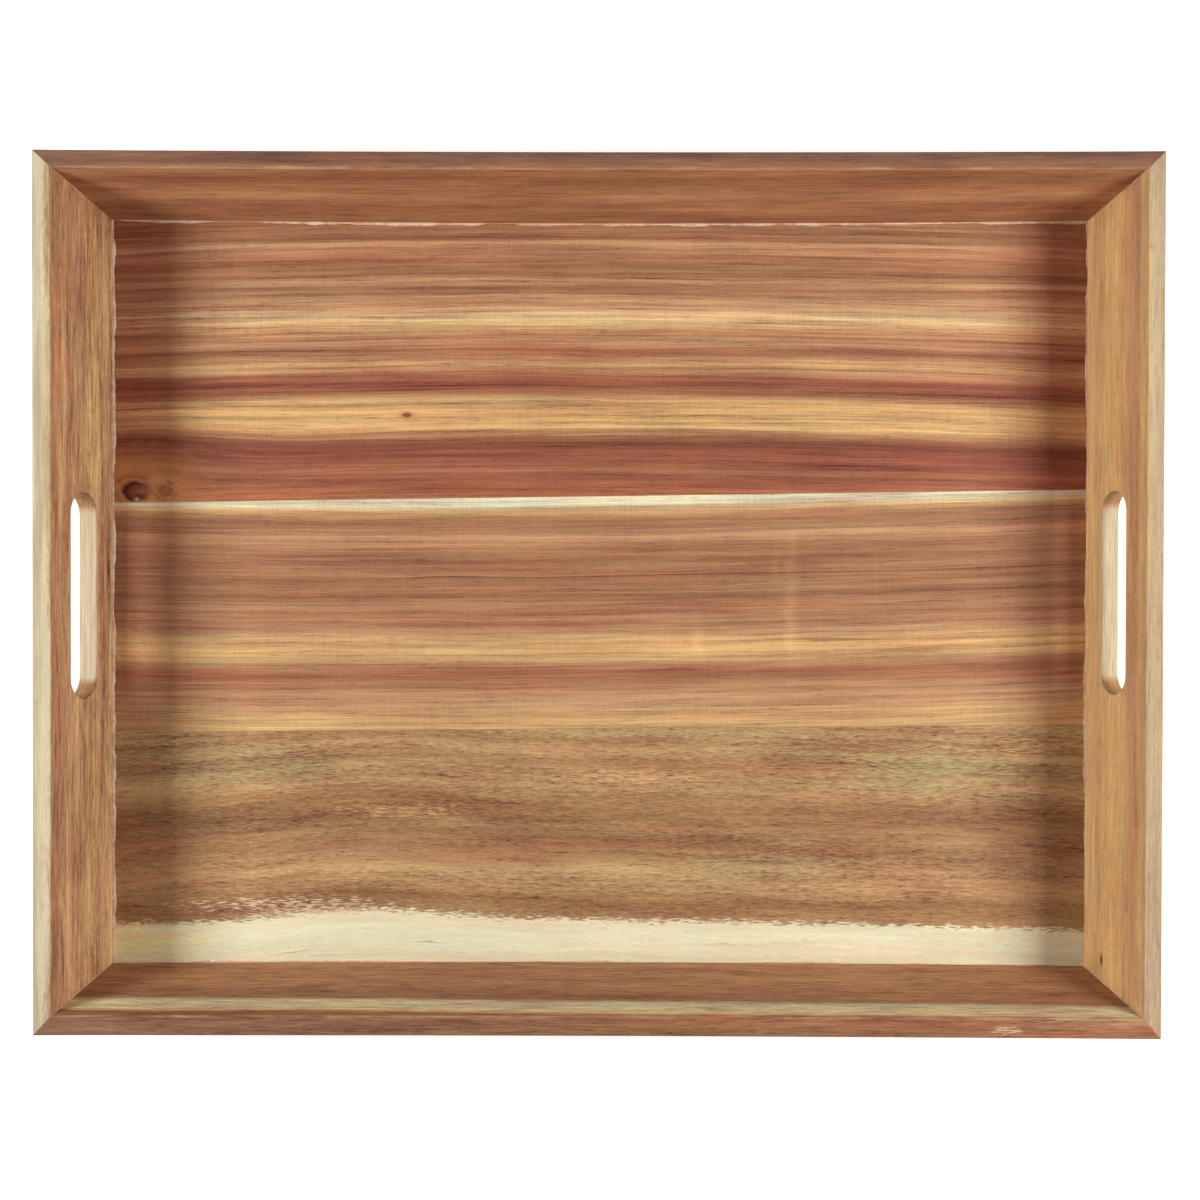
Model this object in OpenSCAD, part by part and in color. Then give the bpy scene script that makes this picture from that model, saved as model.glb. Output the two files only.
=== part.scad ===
// Serving tray: four canted, mitred rails round a floor of three edge-glued boards.
// Millimetres. +Z is up, +X is to the right and +Y to the back.
// The origin is on the table, under the middle of the tray.

/* [Tray] */
// Length over the rims, left to right
tray_l = 510; // [440:5:580]
// Width over the rims, front to back
tray_w = 400; // [360:5:440]
// Height over the rims
tray_h = 60; // [56:1:72]
// How far the rails lean out from upright, in degrees
cant = 14; // [8:0.5:18]

/* [Stock] */
// Thickness of the rail stock
rail_t = 9; // [9:0.5:12]
// Thickness of the floor boards
floor_t = 8; // [6:0.5:9]
// Height of the floor's underside above the table
floor_lift = 5; // [4:0.5:6]
// How deep the floor boards sit in the rails' grooves
housing = 4; // [3:0.5:4]
// Radius on the rims' edges
rim_ease = 0.6; // [0.5:0.1:2]
// Radius on the edges that stand on the table
foot_ease = 0.6; // [0.3:0.1:1]

/* [Floor seams] */
// Back seam's distance behind the middle, at the left end
back_seam_left = 43.5; // [35:0.5:50]
// Back seam's distance behind the middle, at the right end
back_seam_right = 51; // [35:0.5:55]
// Front seam's distance before the middle, at the left end
front_seam_left = 67; // [55:0.5:75]
// Front seam's distance before the middle, at the right end
front_seam_right = 62; // [55:0.5:75]

/* [Hand slots] */
// Length of the left hand slot, between its round ends' walls
left_slot_l = 95.5; // [90:0.5:110]
// Width of the left hand slot, up the rail's face
left_slot_w = 20; // [17:0.5:23]
// Length of the right hand slot, between its round ends' walls
right_slot_l = 94; // [90:0.5:110]
// Width of the right hand slot, up the rail's face
right_slot_w = 18.5; // [17:0.5:23]
// Height of a hand slot's centre above the table
slot_z = 35; // [33:0.5:36]
// Radius round the mouths of a hand slot
slot_ease = 0.8; // [0.5:0.1:1.5]
// How far the left slot is behind the rail's middle
left_slot_shift = -1; // [-3:0.5:3]
// How far the right slot is behind the rail's middle
right_slot_shift = 1.5; // [-3:0.5:3]

/* [Corner joints] */
// Length of the loose spline up the mitre
spline_l = 24; // [18:1:26]
// Width of the spline across the mitre
spline_w = 12; // [8:0.5:12]
// Thickness of the spline
spline_t = 3; // [2:0.5:3]
// How far the spline is moved from the stock's middle towards the inner corner
spline_in = 2; // [1.5:0.1:2.2]
// Diameter of the headless brads
brad_d = 1.2; // [1:0.1:1.4]
// Length of the brads
brad_l = 25; // [18:1:30]
// Depth that a brad is set under the surface, and then filled
brad_set = 1.5; // [1:0.1:2]

/* [Hidden] */

groove_slack = 0.2;   // room above the boards in the groove
groove_gap = 0.3;     // room past the boards' edges, for the wood to move
pocket_slack = 0.1;   // glue room round a spline
over = 1;             // how far a cutter runs past what it cuts
round_fn = 48;
arc_steps = 5;

brad_heights = [17.5, tray_h - 9];   // below and above the spline
spline_z = 34;                       // middle of the spline

floor_top = floor_lift + floor_t;
half_l = tray_l / 2;
half_w = tray_w / 2;
corner_lean = atan(sqrt(2) * tan(cant));   // lean of the mitre line in its own plane

// A rail's section is drawn as [out, up]: out is 0 at the rim's outer edge and negative inwards.
rim_outer = [0, tray_h - rail_t * sin(cant)];
rim_inner = [-rail_t * cos(cant), tray_h];
function inner_at(z) = rim_inner.x - (tray_h - z) * tan(cant);
function outer_at(z) = -(rim_outer.y - z) * tan(cant);
function middle_at(z) = inner_at(z) + rail_t / cos(cant) / 2;
panel_out = inner_at(floor_top) + housing;
panel_half_l = half_l + panel_out;
panel_half_w = half_w + panel_out;

wood_back = [0.68, 0.47, 0.34];
wood_middle = [0.71, 0.52, 0.37];
wood_front = [0.69, 0.53, 0.38];
wood_dark = [0.58, 0.40, 0.28];
wood_light = [0.72, 0.54, 0.36];
wood_spline = [0.85, 0.75, 0.58];
steel = [0.66, 0.67, 0.69];
putty = [0.62, 0.45, 0.32];

function unit(v) = v / norm(v);

// Points of an arc of radius r that rounds the convex corner b between a and c, anticlockwise.
function eased(a, b, c, r) =
  let (
    u = unit(a - b),
    v = unit(c - b),
    half_angle = acos(u * v) / 2,
    centre = b + unit(u + v) * r / sin(half_angle),
    start = b + u * r / tan(half_angle) - centre,
    first = atan2(start.y, start.x),
    turn = 180 - 2 * half_angle
  )
  [for (i = [0:arc_steps])
    let (angle = first + turn * i / arc_steps)
    centre + r * [cos(angle), sin(angle)]];

// Section of a rail: eased edges, and a groove for the floor.
module rail_section() {
  foot_inner = [inner_at(0), 0];
  foot_outer = [outer_at(0), 0];
  groove_top = floor_top + groove_slack;
  groove_out = panel_out + groove_gap;
  polygon(concat(
    eased([inner_at(floor_lift), floor_lift], foot_inner, foot_outer, foot_ease),
    eased(foot_inner, foot_outer, rim_outer, foot_ease),
    eased(foot_outer, rim_outer, rim_inner, rim_ease),
    eased(rim_outer, rim_inner, foot_inner, rim_ease),
    [
      [inner_at(groove_top), groove_top],
      [groove_out, groove_top],
      [groove_out, floor_lift],
      [inner_at(floor_lift), floor_lift]
    ]
  ));
}

// A rail along X on the +Y side, with its rim at y = side, mitred at 45 degrees at both ends.
module mitred_rail(l, side) {
  reach = tray_h;
  intersection() {
    translate([-l / 2 - over, side, 0])
      rotate([90, 0, 90])
        linear_extrude(l + 2 * over) rail_section();
    translate([0, 0, -over])
      linear_extrude(tray_h + 2 * over)
        polygon([
          [-l / 2 - over, side + over],
          [-l / 2 + reach, side - reach],
          [l / 2 - reach, side - reach],
          [l / 2 + over, side + over]
        ]);
  }
}

// Half of the outline through the stock of a hand slot w wide:
// [distance from its middle line, height over the inner face].
function slot_side(w) =
  let (r = w / 2, e = slot_ease)
  concat(
    [[r + e, -rail_t - over]],
    [for (i = [0:arc_steps])
      let (a = 90 * i / arc_steps) [r + e - e * sin(a), -rail_t + e - e * cos(a)]],
    [for (i = [arc_steps:-1:0])
      let (a = 90 * i / arc_steps) [r + e - e * sin(a), -e + e * cos(a)]],
    [[r + e, over]]
  );

// The round end of a hand slot w wide, with eased mouths.
module slot_end(w) {
  rotate_extrude($fn = round_fn)
    polygon(concat([[0, -rail_t - over]], slot_side(w), [[0, over]]));
}

// The straight stretch of a hand slot l long and w wide.
module slot_middle(l, w) {
  side = slot_side(w);
  other = [for (i = [len(side) - 1:-1:0]) [-side[i].x, side[i].y]];
  rotate([90, 0, 90])
    linear_extrude(l - w, center = true)
      polygon(concat(side, other));
}

// Puts children on the inner face of the +Y rail at a height: y runs up the face and z into the tray.
module on_inner_face(side, z) {
  translate([0, side + inner_at(z), z])
    rotate([90 - cant, 0, 0]) children();
}

// An end rail on the +Y side, with a hand slot [length, width] moved by shift along it.
module slotted_rail(l, side, slot, shift) {
  difference() {
    mitred_rail(l, side);
    on_inner_face(side, slot_z) translate([shift, 0, 0]) {
      slot_middle(slot.x, slot.y);
      for (x = [-1, 1]) translate([x * (slot.x - slot.y) / 2, 0, 0]) slot_end(slot.y);
    }
  }
}

// Mirrors children from the back right corner to the corner with these signs.
module at_corner(x_sign, y_sign) {
  mirror([x_sign < 0 ? 1 : 0, 0, 0])
    mirror([0, y_sign < 0 ? 1 : 0, 0]) children();
}

module at_every_corner() {
  for (x = [-1, 1], y = [-1, 1]) at_corner(x, y) children();
}

// The loose spline of the back right corner, square to the mitre and leaning with it.
module spline(slack = 0) {
  out = middle_at(spline_z) - spline_in;
  translate([half_l + out, half_w + out, spline_z])
    rotate([-corner_lean, 0, -45])
      cube([spline_w + 2 * slack, spline_t + 2 * slack, spline_l + 2 * slack], center = true);
}

// A hole or rod along -Y in the back right corner, from y = start, down the middle of the end rail.
module rod_into_end_rail(z, start, length) {
  translate([half_l + middle_at(z), start, z])
    rotate([90, 0, 0]) cylinder(h = length, d = brad_d, $fn = 32);
}

function brad_head(z) = half_w + outer_at(z) - brad_set;

// The brads of the back right corner.
module corner_rods() {
  for (z = brad_heights) rod_into_end_rail(z, brad_head(z), brad_l);
}

// The brads and the holes they were driven through, as one cutter.
module corner_holes() {
  for (z = brad_heights) rod_into_end_rail(z, brad_head(z) + brad_set + over, brad_l + brad_set + over);
}

// Takes the spline pockets and brad holes out of a rail.
module with_joint_holes() {
  difference() {
    children();
    at_every_corner() {
      spline(pocket_slack);
      corner_holes();
    }
  }
}

module rail_back() {
  color(wood_dark) with_joint_holes() mitred_rail(tray_l, half_w);
}

module rail_front() {
  color(wood_dark) with_joint_holes() rotate([0, 0, 180]) mitred_rail(tray_l, half_w);
}

module rail_left() {
  color(wood_light) with_joint_holes() rotate([0, 0, 90])
    slotted_rail(tray_w, half_l, [left_slot_l, left_slot_w], left_slot_shift);
}

module rail_right() {
  color(wood_light) with_joint_holes() rotate([0, 0, -90])
    slotted_rail(tray_w, half_l, [right_slot_l, right_slot_w], -right_slot_shift);
}

// A floor board between two lines across the tray, each given at its left and right ends.
module floor_board(near_left, near_right, far_left, far_right) {
  translate([0, 0, floor_lift])
    linear_extrude(floor_t)
      polygon([
        [-panel_half_l, near_left],
        [panel_half_l, near_right],
        [panel_half_l, far_right],
        [-panel_half_l, far_left]
      ]);
}

module floor_board_back() {
  color(wood_back) floor_board(back_seam_left, back_seam_right, panel_half_w, panel_half_w);
}

module floor_board_middle() {
  color(wood_middle) floor_board(-front_seam_left, -front_seam_right, back_seam_left, back_seam_right);
}

module floor_board_front() {
  color(wood_front) floor_board(-panel_half_w, -panel_half_w, -front_seam_left, -front_seam_right);
}

module mitre_spline(x_sign, y_sign) {
  color(wood_spline) at_corner(x_sign, y_sign) spline();
}

module corner_brads() {
  color(steel) at_every_corner() corner_rods();
}

// Filler over each brad, flush with the long rail's outer face.
module brad_fillers() {
  color(putty) at_every_corner() intersection() {
    mitred_rail(tray_l, half_w);
    for (z = brad_heights) rod_into_end_rail(z, brad_head(z) + brad_set + over, brad_set + over);
  }
}

floor_board_back();
floor_board_middle();
floor_board_front();
rail_back();
rail_front();
rail_left();
rail_right();
mitre_spline(-1, 1);  // mitre_spline_back_left
mitre_spline(1, 1);  // mitre_spline_back_right
mitre_spline(-1, -1);  // mitre_spline_front_left
mitre_spline(1, -1);  // mitre_spline_front_right
corner_brads();
brad_fillers();
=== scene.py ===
"""Looks of a wooden serving tray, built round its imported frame.

The rails and floor boards are rebuilt with finer eased edges and dressed in figured acacia. Lengths are
metres in meshes and millimetres in finishes, where a place is measured on its own board or rail.
"""

import logging
import math
from dataclasses import dataclass, field
from enum import Enum
from typing import Iterable, Sequence

import bmesh
import bpy
from mathutils import Euler, Matrix, Vector


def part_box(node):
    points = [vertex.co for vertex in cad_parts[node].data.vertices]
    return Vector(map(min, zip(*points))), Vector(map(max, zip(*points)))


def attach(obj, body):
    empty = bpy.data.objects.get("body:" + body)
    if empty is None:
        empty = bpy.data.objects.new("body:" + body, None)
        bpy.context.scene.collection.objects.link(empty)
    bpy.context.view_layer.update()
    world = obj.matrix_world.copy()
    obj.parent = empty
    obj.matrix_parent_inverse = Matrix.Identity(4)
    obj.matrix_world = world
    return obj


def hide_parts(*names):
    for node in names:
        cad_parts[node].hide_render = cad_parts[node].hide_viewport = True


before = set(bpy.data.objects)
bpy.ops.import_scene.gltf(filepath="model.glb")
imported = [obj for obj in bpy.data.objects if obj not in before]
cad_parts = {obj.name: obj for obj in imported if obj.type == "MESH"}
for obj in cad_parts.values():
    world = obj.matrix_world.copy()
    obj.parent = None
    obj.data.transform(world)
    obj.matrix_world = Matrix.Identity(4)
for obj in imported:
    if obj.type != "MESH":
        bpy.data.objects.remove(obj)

log = logging.getLogger("serving_tray")

MM = 0.001
BODY = "root"
# The angle in degrees past which an edge is kept sharp.
SHARP = 35.0
# How strongly the normals lean towards the larger faces.
FLAT_WEIGHT = 80


class Tint(Enum):
    """Wood and finish colours, as display values from 0 to 255."""

    CREAM = (228, 216, 179)
    IVORY = (235, 224, 190)
    STRAW = (218, 192, 146)
    LIGHT_GOLD = (224, 186, 136)
    GOLD = (213, 166, 112)
    TAN = (190, 141, 104)
    SAND = (204, 160, 110)
    BROWN = (174, 122, 88)
    WALNUT = (158, 110, 79)
    RED_BROWN = (164, 104, 75)
    DARK_RED = (150, 88, 66)
    PLUM = (132, 76, 58)
    OLIVE = (164, 122, 84)
    OLIVE_LIGHT = (184, 143, 100)
    OLIVE_DARK = (156, 113, 76)
    HALO = (208, 138, 86)
    RUST = (174, 108, 76)
    EYE = (84, 40, 33)
    UMBER = (112, 66, 42)
    BUFF = (205, 186, 153)
    KHAKI = (178, 156, 120)
    ROSE = (214, 178, 150)
    MOSS = (176, 150, 106)
    LICHEN = (167, 143, 111)
    # A golden tint brightened past the wood's own colour: partly painted light that offsets the shade at the
    # front board's left end.
    HONEY_LIT = (250, 224, 160)
    SAWN = (205, 194, 165)
    DUSK = (131, 94, 76)
    GLUE = (240, 208, 178)
    GLUE_TAN = (216, 166, 128)

    def linear(self) -> tuple[float, float, float]:
        """The tint as linear light."""
        shares = (value / 255 for value in self.value)
        return tuple(c / 12.92 if c <= 0.04045 else ((c + 0.055) / 1.055) ** 2.4 for c in shares)

    def rgba(self) -> tuple[float, float, float, float]:
        """The tint as linear light with full alpha."""
        return (*self.linear(), 1.0)


class Side(Enum):
    """A side of the tray, with the turn about Z that brings the back side there."""

    BACK = 0
    LEFT = 90
    FRONT = 180
    RIGHT = -90

    @property
    def long(self) -> bool:
        """Whether the side is one of the tray's long ones."""
        return self in (Side.BACK, Side.FRONT)

    @property
    def turn(self) -> float:
        """The turn in radians."""
        return math.radians(self.value)


# ---------------------------------------------------------------- node sheets


class Sheet:
    """Writes shader or geometry nodes into a tree, with each helper returning an output socket."""

    def __init__(self, tree: bpy.types.NodeTree) -> None:
        """Keeps the tree and empties it.

        Args:
            tree: The node tree to fill.
        """
        self.tree = tree
        tree.nodes.clear()

    def node(self, kind: str, **settings: object) -> bpy.types.Node:
        """Adds a node.

        Args:
            kind: The node's type name.
            **settings: Properties to set on it.

        Returns:
            The new node.
        """
        made = self.tree.nodes.new(kind)
        for name, value in settings.items():
            setattr(made, name, value)
        return made

    def feed(self, socket: bpy.types.NodeSocket, value: object) -> None:
        """Links an output socket to an input, or sets the input to a plain value.

        Args:
            socket: The input socket.
            value: An output socket or a plain value.
        """
        if isinstance(value, bpy.types.NodeSocket):
            self.tree.links.new(value, socket)
        else:
            socket.default_value = value

    def fed(self, kind: str, inputs: dict[str, object], **settings: object) -> bpy.types.NodeSocket:
        """Adds a node and feeds its inputs.

        Args:
            kind: The node's type name.
            inputs: Sockets or plain values, by the inputs' names.
            **settings: Properties to set on it.

        Returns:
            Its first output.
        """
        made = self.node(kind, **settings)
        for name, value in inputs.items():
            self.feed(made.inputs[name], value)
        return made.outputs[0]

    def math(self, operation: str, *values: object) -> bpy.types.NodeSocket:
        """One Math node.

        Args:
            operation: The node's operation.
            *values: Its inputs, as sockets or numbers.

        Returns:
            The result.
        """
        made = self.node("ShaderNodeMath", operation=operation)
        for socket, value in zip(made.inputs, values):
            self.feed(socket, value)
        return made.outputs[0]

    def add(self, *values: object) -> bpy.types.NodeSocket:
        """A sum.

        Args:
            *values: Sockets and numbers.

        Returns:
            Their sum.
        """
        total = values[0]
        for value in values[1:]:
            total = self.math("ADD", total, value)
        return total

    def times(self, a: object, b: object) -> bpy.types.NodeSocket:
        """The product of two sockets or numbers."""
        return self.math("MULTIPLY", a, b)

    def spread(self, factor: object, reach: float) -> bpy.types.NodeSocket:
        """Turns a 0 to 1 factor into a value from -reach to reach."""
        return self.times(self.math("SUBTRACT", factor, 0.5), 2 * reach)

    def vector(self, operation: str, *values: object) -> bpy.types.NodeSocket:
        """One Vector Math node.

        Args:
            operation: The node's operation.
            *values: Its inputs, as sockets or plain values.

        Returns:
            The result.
        """
        made = self.node("ShaderNodeVectorMath", operation=operation)
        inputs = [made.inputs[0], made.inputs["Scale"]] if operation == "SCALE" else made.inputs
        for socket, value in zip(inputs, values):
            self.feed(socket, value)
        return made.outputs["Value"] if operation in ("LENGTH", "DISTANCE") else made.outputs[0]

    def joined(self, x: object, y: object, z: object) -> bpy.types.NodeSocket:
        """A vector from three sockets or numbers."""
        return self.fed("ShaderNodeCombineXYZ", {"X": x, "Y": y, "Z": z})

    def step(self, value: object, low: object, high: object) -> bpy.types.NodeSocket:
        """A smooth step from 0 at low to 1 at high."""
        ends = {"Value": value, "From Min": low, "From Max": high}
        return self.fed("ShaderNodeMapRange", ends, interpolation_type="SMOOTHSTEP")

    def bell(self, value: object, centre: float, width: float) -> bpy.types.NodeSocket:
        """A smooth bump that is 1 at centre and fades over width."""
        away = self.times(self.math("SUBTRACT", value, centre), 1 / width)
        return self.math("EXPONENT", self.times(self.times(away, away), -1.0))

    def noise(
        self,
        place: bpy.types.NodeSocket,
        grain: tuple[float, float, float],
        seed: float,
        octaves: float,
        roughness: float,
    ) -> bpy.types.NodeSocket:
        """Noise whose features are grain millimetres long, wide and deep.

        Args:
            place: The place in millimetres.
            grain: The feature's size along, across and through the wood.
            seed: Moves the pattern.
            octaves: How many finer noises are laid over the first.
            roughness: Strength of the finer octaves.

        Returns:
            A factor from 0 to 1.
        """
        scaled = self.vector("MULTIPLY", place, tuple(1 / g for g in grain))
        moved = self.vector("ADD", scaled, (seed * 7.3, seed * 3.1, seed * 5.7))
        shape = {"Vector": moved, "Scale": 1.0, "Detail": octaves, "Roughness": roughness}
        return self.fed("ShaderNodeTexNoise", shape, noise_dimensions="3D")

    def mix(self, factor: object, a: object, b: object) -> bpy.types.NodeSocket:
        """A mix of two colours.

        Args:
            factor: From 0, all a, to 1, all b.
            a: The first colour.
            b: The second colour.

        Returns:
            The mixed colour.
        """
        made = self.node("ShaderNodeMix", data_type="RGBA", clamp_factor=True)
        for place, value in ((0, factor), (6, a), (7, b)):
            self.feed(made.inputs[place], value)
        return made.outputs[2]

    def ramp(self, factor: object, stops: Sequence[tuple[float, Tint]]) -> bpy.types.NodeSocket:
        """A colour ramp.

        Args:
            factor: The place along the ramp.
            stops: Places from 0 to 1, in order, with their tints.

        Returns:
            The colour there.
        """
        made = self.node("ShaderNodeValToRGB")
        ramp = made.color_ramp
        while len(ramp.elements) < len(stops):
            ramp.elements.new(0.5)
        for element, (place, tint) in zip(ramp.elements, stops):
            element.position = place
            element.color = tint.rgba()
        self.feed(made.inputs[0], factor)
        return made.outputs[0]

    def surface(self, colour: object, rough: object, height: object, bump: float) -> bpy.types.Node:
        """Ends a material's tree in a surface with a bump.

        Args:
            colour: The base colour.
            rough: The roughness.
            height: The bump's height, in millimetres.
            bump: The bump's strength.

        Returns:
            The surface's shader, for its other settings.
        """
        raised = self.fed("ShaderNodeBump", {"Strength": bump, "Distance": MM, "Height": height})
        shader = self.node("ShaderNodeBsdfPrincipled")
        for name, value in (("Base Color", colour), ("Roughness", rough), ("Normal", raised)):
            self.feed(shader.inputs[name], value)
        self.feed(self.node("ShaderNodeOutputMaterial").inputs["Surface"], shader.outputs[0])
        return shader

    def takes(self, *numbers: str) -> bpy.types.bpy_prop_collection:
        """Opens a geometry tree that takes a shape and named numbers and gives a shape.

        Args:
            *numbers: The numbers' names.

        Returns:
            What it is given, by name.
        """
        face = self.tree.interface
        face.new_socket("Geometry", in_out="INPUT", socket_type="NodeSocketGeometry")
        for name in numbers:
            face.new_socket(name, in_out="INPUT", socket_type="NodeSocketFloat")
        face.new_socket("Geometry", in_out="OUTPUT", socket_type="NodeSocketGeometry")
        return self.node("NodeGroupInput").outputs

    def gives(self, shape: bpy.types.NodeSocket, material: bpy.types.Material) -> None:
        """Ends a geometry tree: makes the shape real, dresses it and gives it out.

        Args:
            shape: The shape.
            material: Its material.
        """
        real = self.fed("GeometryNodeRealizeInstances", {"Geometry": shape})
        dressed = self.fed("GeometryNodeSetMaterial", {"Geometry": real, "Material": material})
        self.feed(self.node("NodeGroupOutput").inputs["Geometry"], dressed)


# ---------------------------------------------------------------- finishes


@dataclass(frozen=True)
class Knot:
    """A knot on a face, in millimetres: its middle, its eye's half sizes and its halo's reach.

    push is how far the grain is pushed aside, as a share, and dark is how fully the eye covers the wood.
    A full knot's eye has a glint.
    """

    along: float
    across: float
    eye: float
    eye_across: float
    halo: float
    push: float
    dark: float = 1.0

    @property
    def glint(self) -> bool:
        """Whether the eye has a glint."""
        return self.dark > 0.9


@dataclass(frozen=True)
class Flash:
    """A pale patch where the grain dips, in millimetres: its middle, half sizes and strength."""

    along: float
    across: float
    half_along: float
    half_across: float
    strength: float


@dataclass(frozen=True)
class Sapwood:
    """The pale wood past a line across the face, in millimetres: its start, where it is full and its rags."""

    start: float
    full: float
    ragged: float
    light: Tint
    dark: Tint


@dataclass(frozen=True)
class Stain:
    """A patch of another tint with ragged edges, in millimetres: its middle, half sizes and strength.

    A broken patch, below 1, lets the wood's own short strokes through even in its middle. deep is how far
    behind the face a patch on a top edge lies.
    """

    along: float
    across: float
    half_along: float
    half_across: float
    tint: Tint
    strength: float
    broken: float = 1.0
    deep: float | None = None


@dataclass(frozen=True)
class Hairline:
    """A fine dark line along the grain, in millimetres: where it runs, its reach and its strength."""

    across: float
    middle: float
    reach: float
    strength: float


@dataclass(frozen=True)
class Swell:
    """A place where the bands lie further across the face than elsewhere, in millimetres."""

    along: float
    width: float
    rise: float


@dataclass(frozen=True)
class SlotMouth:
    """A slot's outline on a rail's own axes, in millimetres."""

    along: float
    across: float
    straight: float
    radius: float


@dataclass(frozen=True)
class LocalFrame:
    """Where a board or rail's own axes lie: X along the grain, Y across its face and Z out of it."""

    origin: tuple[float, float, float]
    turn: tuple[float, float, float]


@dataclass(frozen=True)
class Figure:
    """How strongly each kind of figure shows, as shares of the wood's brightness."""

    streak: float = 0.95
    fine: float = 0.75
    patch: float = 0.20
    ripple: float = 0.10
    pores: float = 0.30
    chatter: float = 0.10


@dataclass(frozen=True)
class Grain:
    """A noise in wood: its features' size in millimetres along, across and through it, and its octaves.

    seed keeps it apart from the wood's other noises, and roughness is the strength of its finer octaves.
    """

    size: tuple[float, float, float]
    seed: float
    octaves: float = 2.0
    roughness: float = 0.5


# How far the bands lie from straight, slowly and then closely.
WANDER = Grain((190, 34, 40), 0)
WOBBLE = Grain((60, 6, 9), 1, 3.0, 0.6)
# Short strokes of rippled grain, and how far they curl.
CURL = Grain((17, 8, 11), 2)
RIPPLE = Grain((4.6, 0.66, 1.0), 3, 3.0, 0.55)
# Changes of tone inside the bands.
PATCHES = Grain((75, 14, 20), 9, 3.0)
RED_TONE = Grain((120, 5, 7), 11, 3.0, 0.55)
SAP_MOTTLE = Grain((70, 5, 5), 25, 3.0, 0.6)
# Vessels, and where they crowd.
VESSELS = Grain((7.5, 0.34, 0.5), 13, 1.0)
VESSEL_CROWDS = Grain((60, 5, 6), 15)
# Edges of single features.
FLASH_SWAY = Grain((1, 5, 1), 17)
KNOT_EDGE = Grain((8, 5, 3), 19, 1.5)
# Marks of the saw, the planer and of use.
SAW_MARKS = Grain((26.0, 1.5, 0.7), 23, 4.0, 0.7)
CHATTER = Grain((0.8, 16, 6), 27, 2.0, 0.6)
RUBBING = Grain((22, 6, 6), 21, 3.0, 0.6)

# Shares of red, green and blue: how fully each follows the shade, and the wood's redder and yellower tones.
SHADE_TILT = (0.86, 1.10, 1.00)
REDDER = (1.03, 0.95, 0.93)
YELLOWER = (0.96, 1.03, 1.00)
DARKEST = (0.08, 0.08, 0.08)
# How much of the figure's shade is lost in sapwood.
SAP_CALM = 0.84
# How far from a board's middle, in millimetres, its darker and warmer end begins and is full: painted shade
# that stands in for the end rails' shadow on the floor.
END_SHADE_START, END_SHADE_FULL = 185.0, 225.0
# How high the pores, streaks, fine lines and ripples stand, in millimetres.
PORE_HEIGHT, STREAK_HEIGHT, FINE_HEIGHT, RIPPLE_HEIGHT = -0.06, 0.05, 0.03, 0.10
# How much light oiled wood throws back at its surface.
SHEEN = 0.22
# A hairline's half width, and how far from it the light line beside it lies, in millimetres.
HAIR_WIDTH, HAIR_GAP = 0.28, 0.55
# How far from an arris the rubbing begins and is full, in millimetres.
RUB_START, RUB_FULL = 1.1, 0.35
# How far outside a slot's outline its wall's colour begins and is full, in millimetres.
WALL_START, WALL_FULL = 0.75, 0.15


@dataclass(frozen=True)
class Spot:
    """Where a point is on its piece, as sockets: the place, and its parts along, across and out of a face."""

    place: bpy.types.NodeSocket
    along: bpy.types.NodeSocket
    across: bpy.types.NodeSocket
    depth: bpy.types.NodeSocket


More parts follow.
